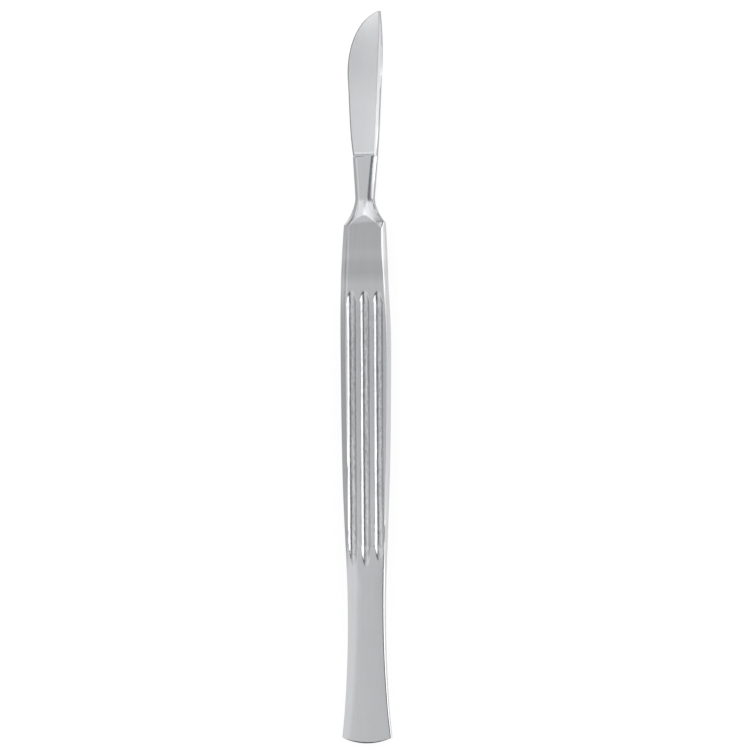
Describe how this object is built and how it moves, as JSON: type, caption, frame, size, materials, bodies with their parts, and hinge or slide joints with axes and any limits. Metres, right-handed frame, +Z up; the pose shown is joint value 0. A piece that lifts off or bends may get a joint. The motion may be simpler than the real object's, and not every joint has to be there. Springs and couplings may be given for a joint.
{
  "type": "one-piece scalpel",
  "caption": "One-piece steel scalpel: bellied ground blade with a clipped tip, hollow flared shoulder, grooved flat handle with bevelled sides and a splayed butt.",
  "frame": {"origin": "centre of the footprint on the surface that the scalpel lies on, level with its lower face", "axes": "+Y along the handle from the butt to the tip of the blade, +X across it towards the spine side, +Z up out of the upper face"},
  "size_m": [0.0086, 0.1262, 0.004],
  "materials": {
    "steel": "satin"
  },
  "bodies": {
    "root": {"scalpel": "steel"}
  },
  "joints": []
}
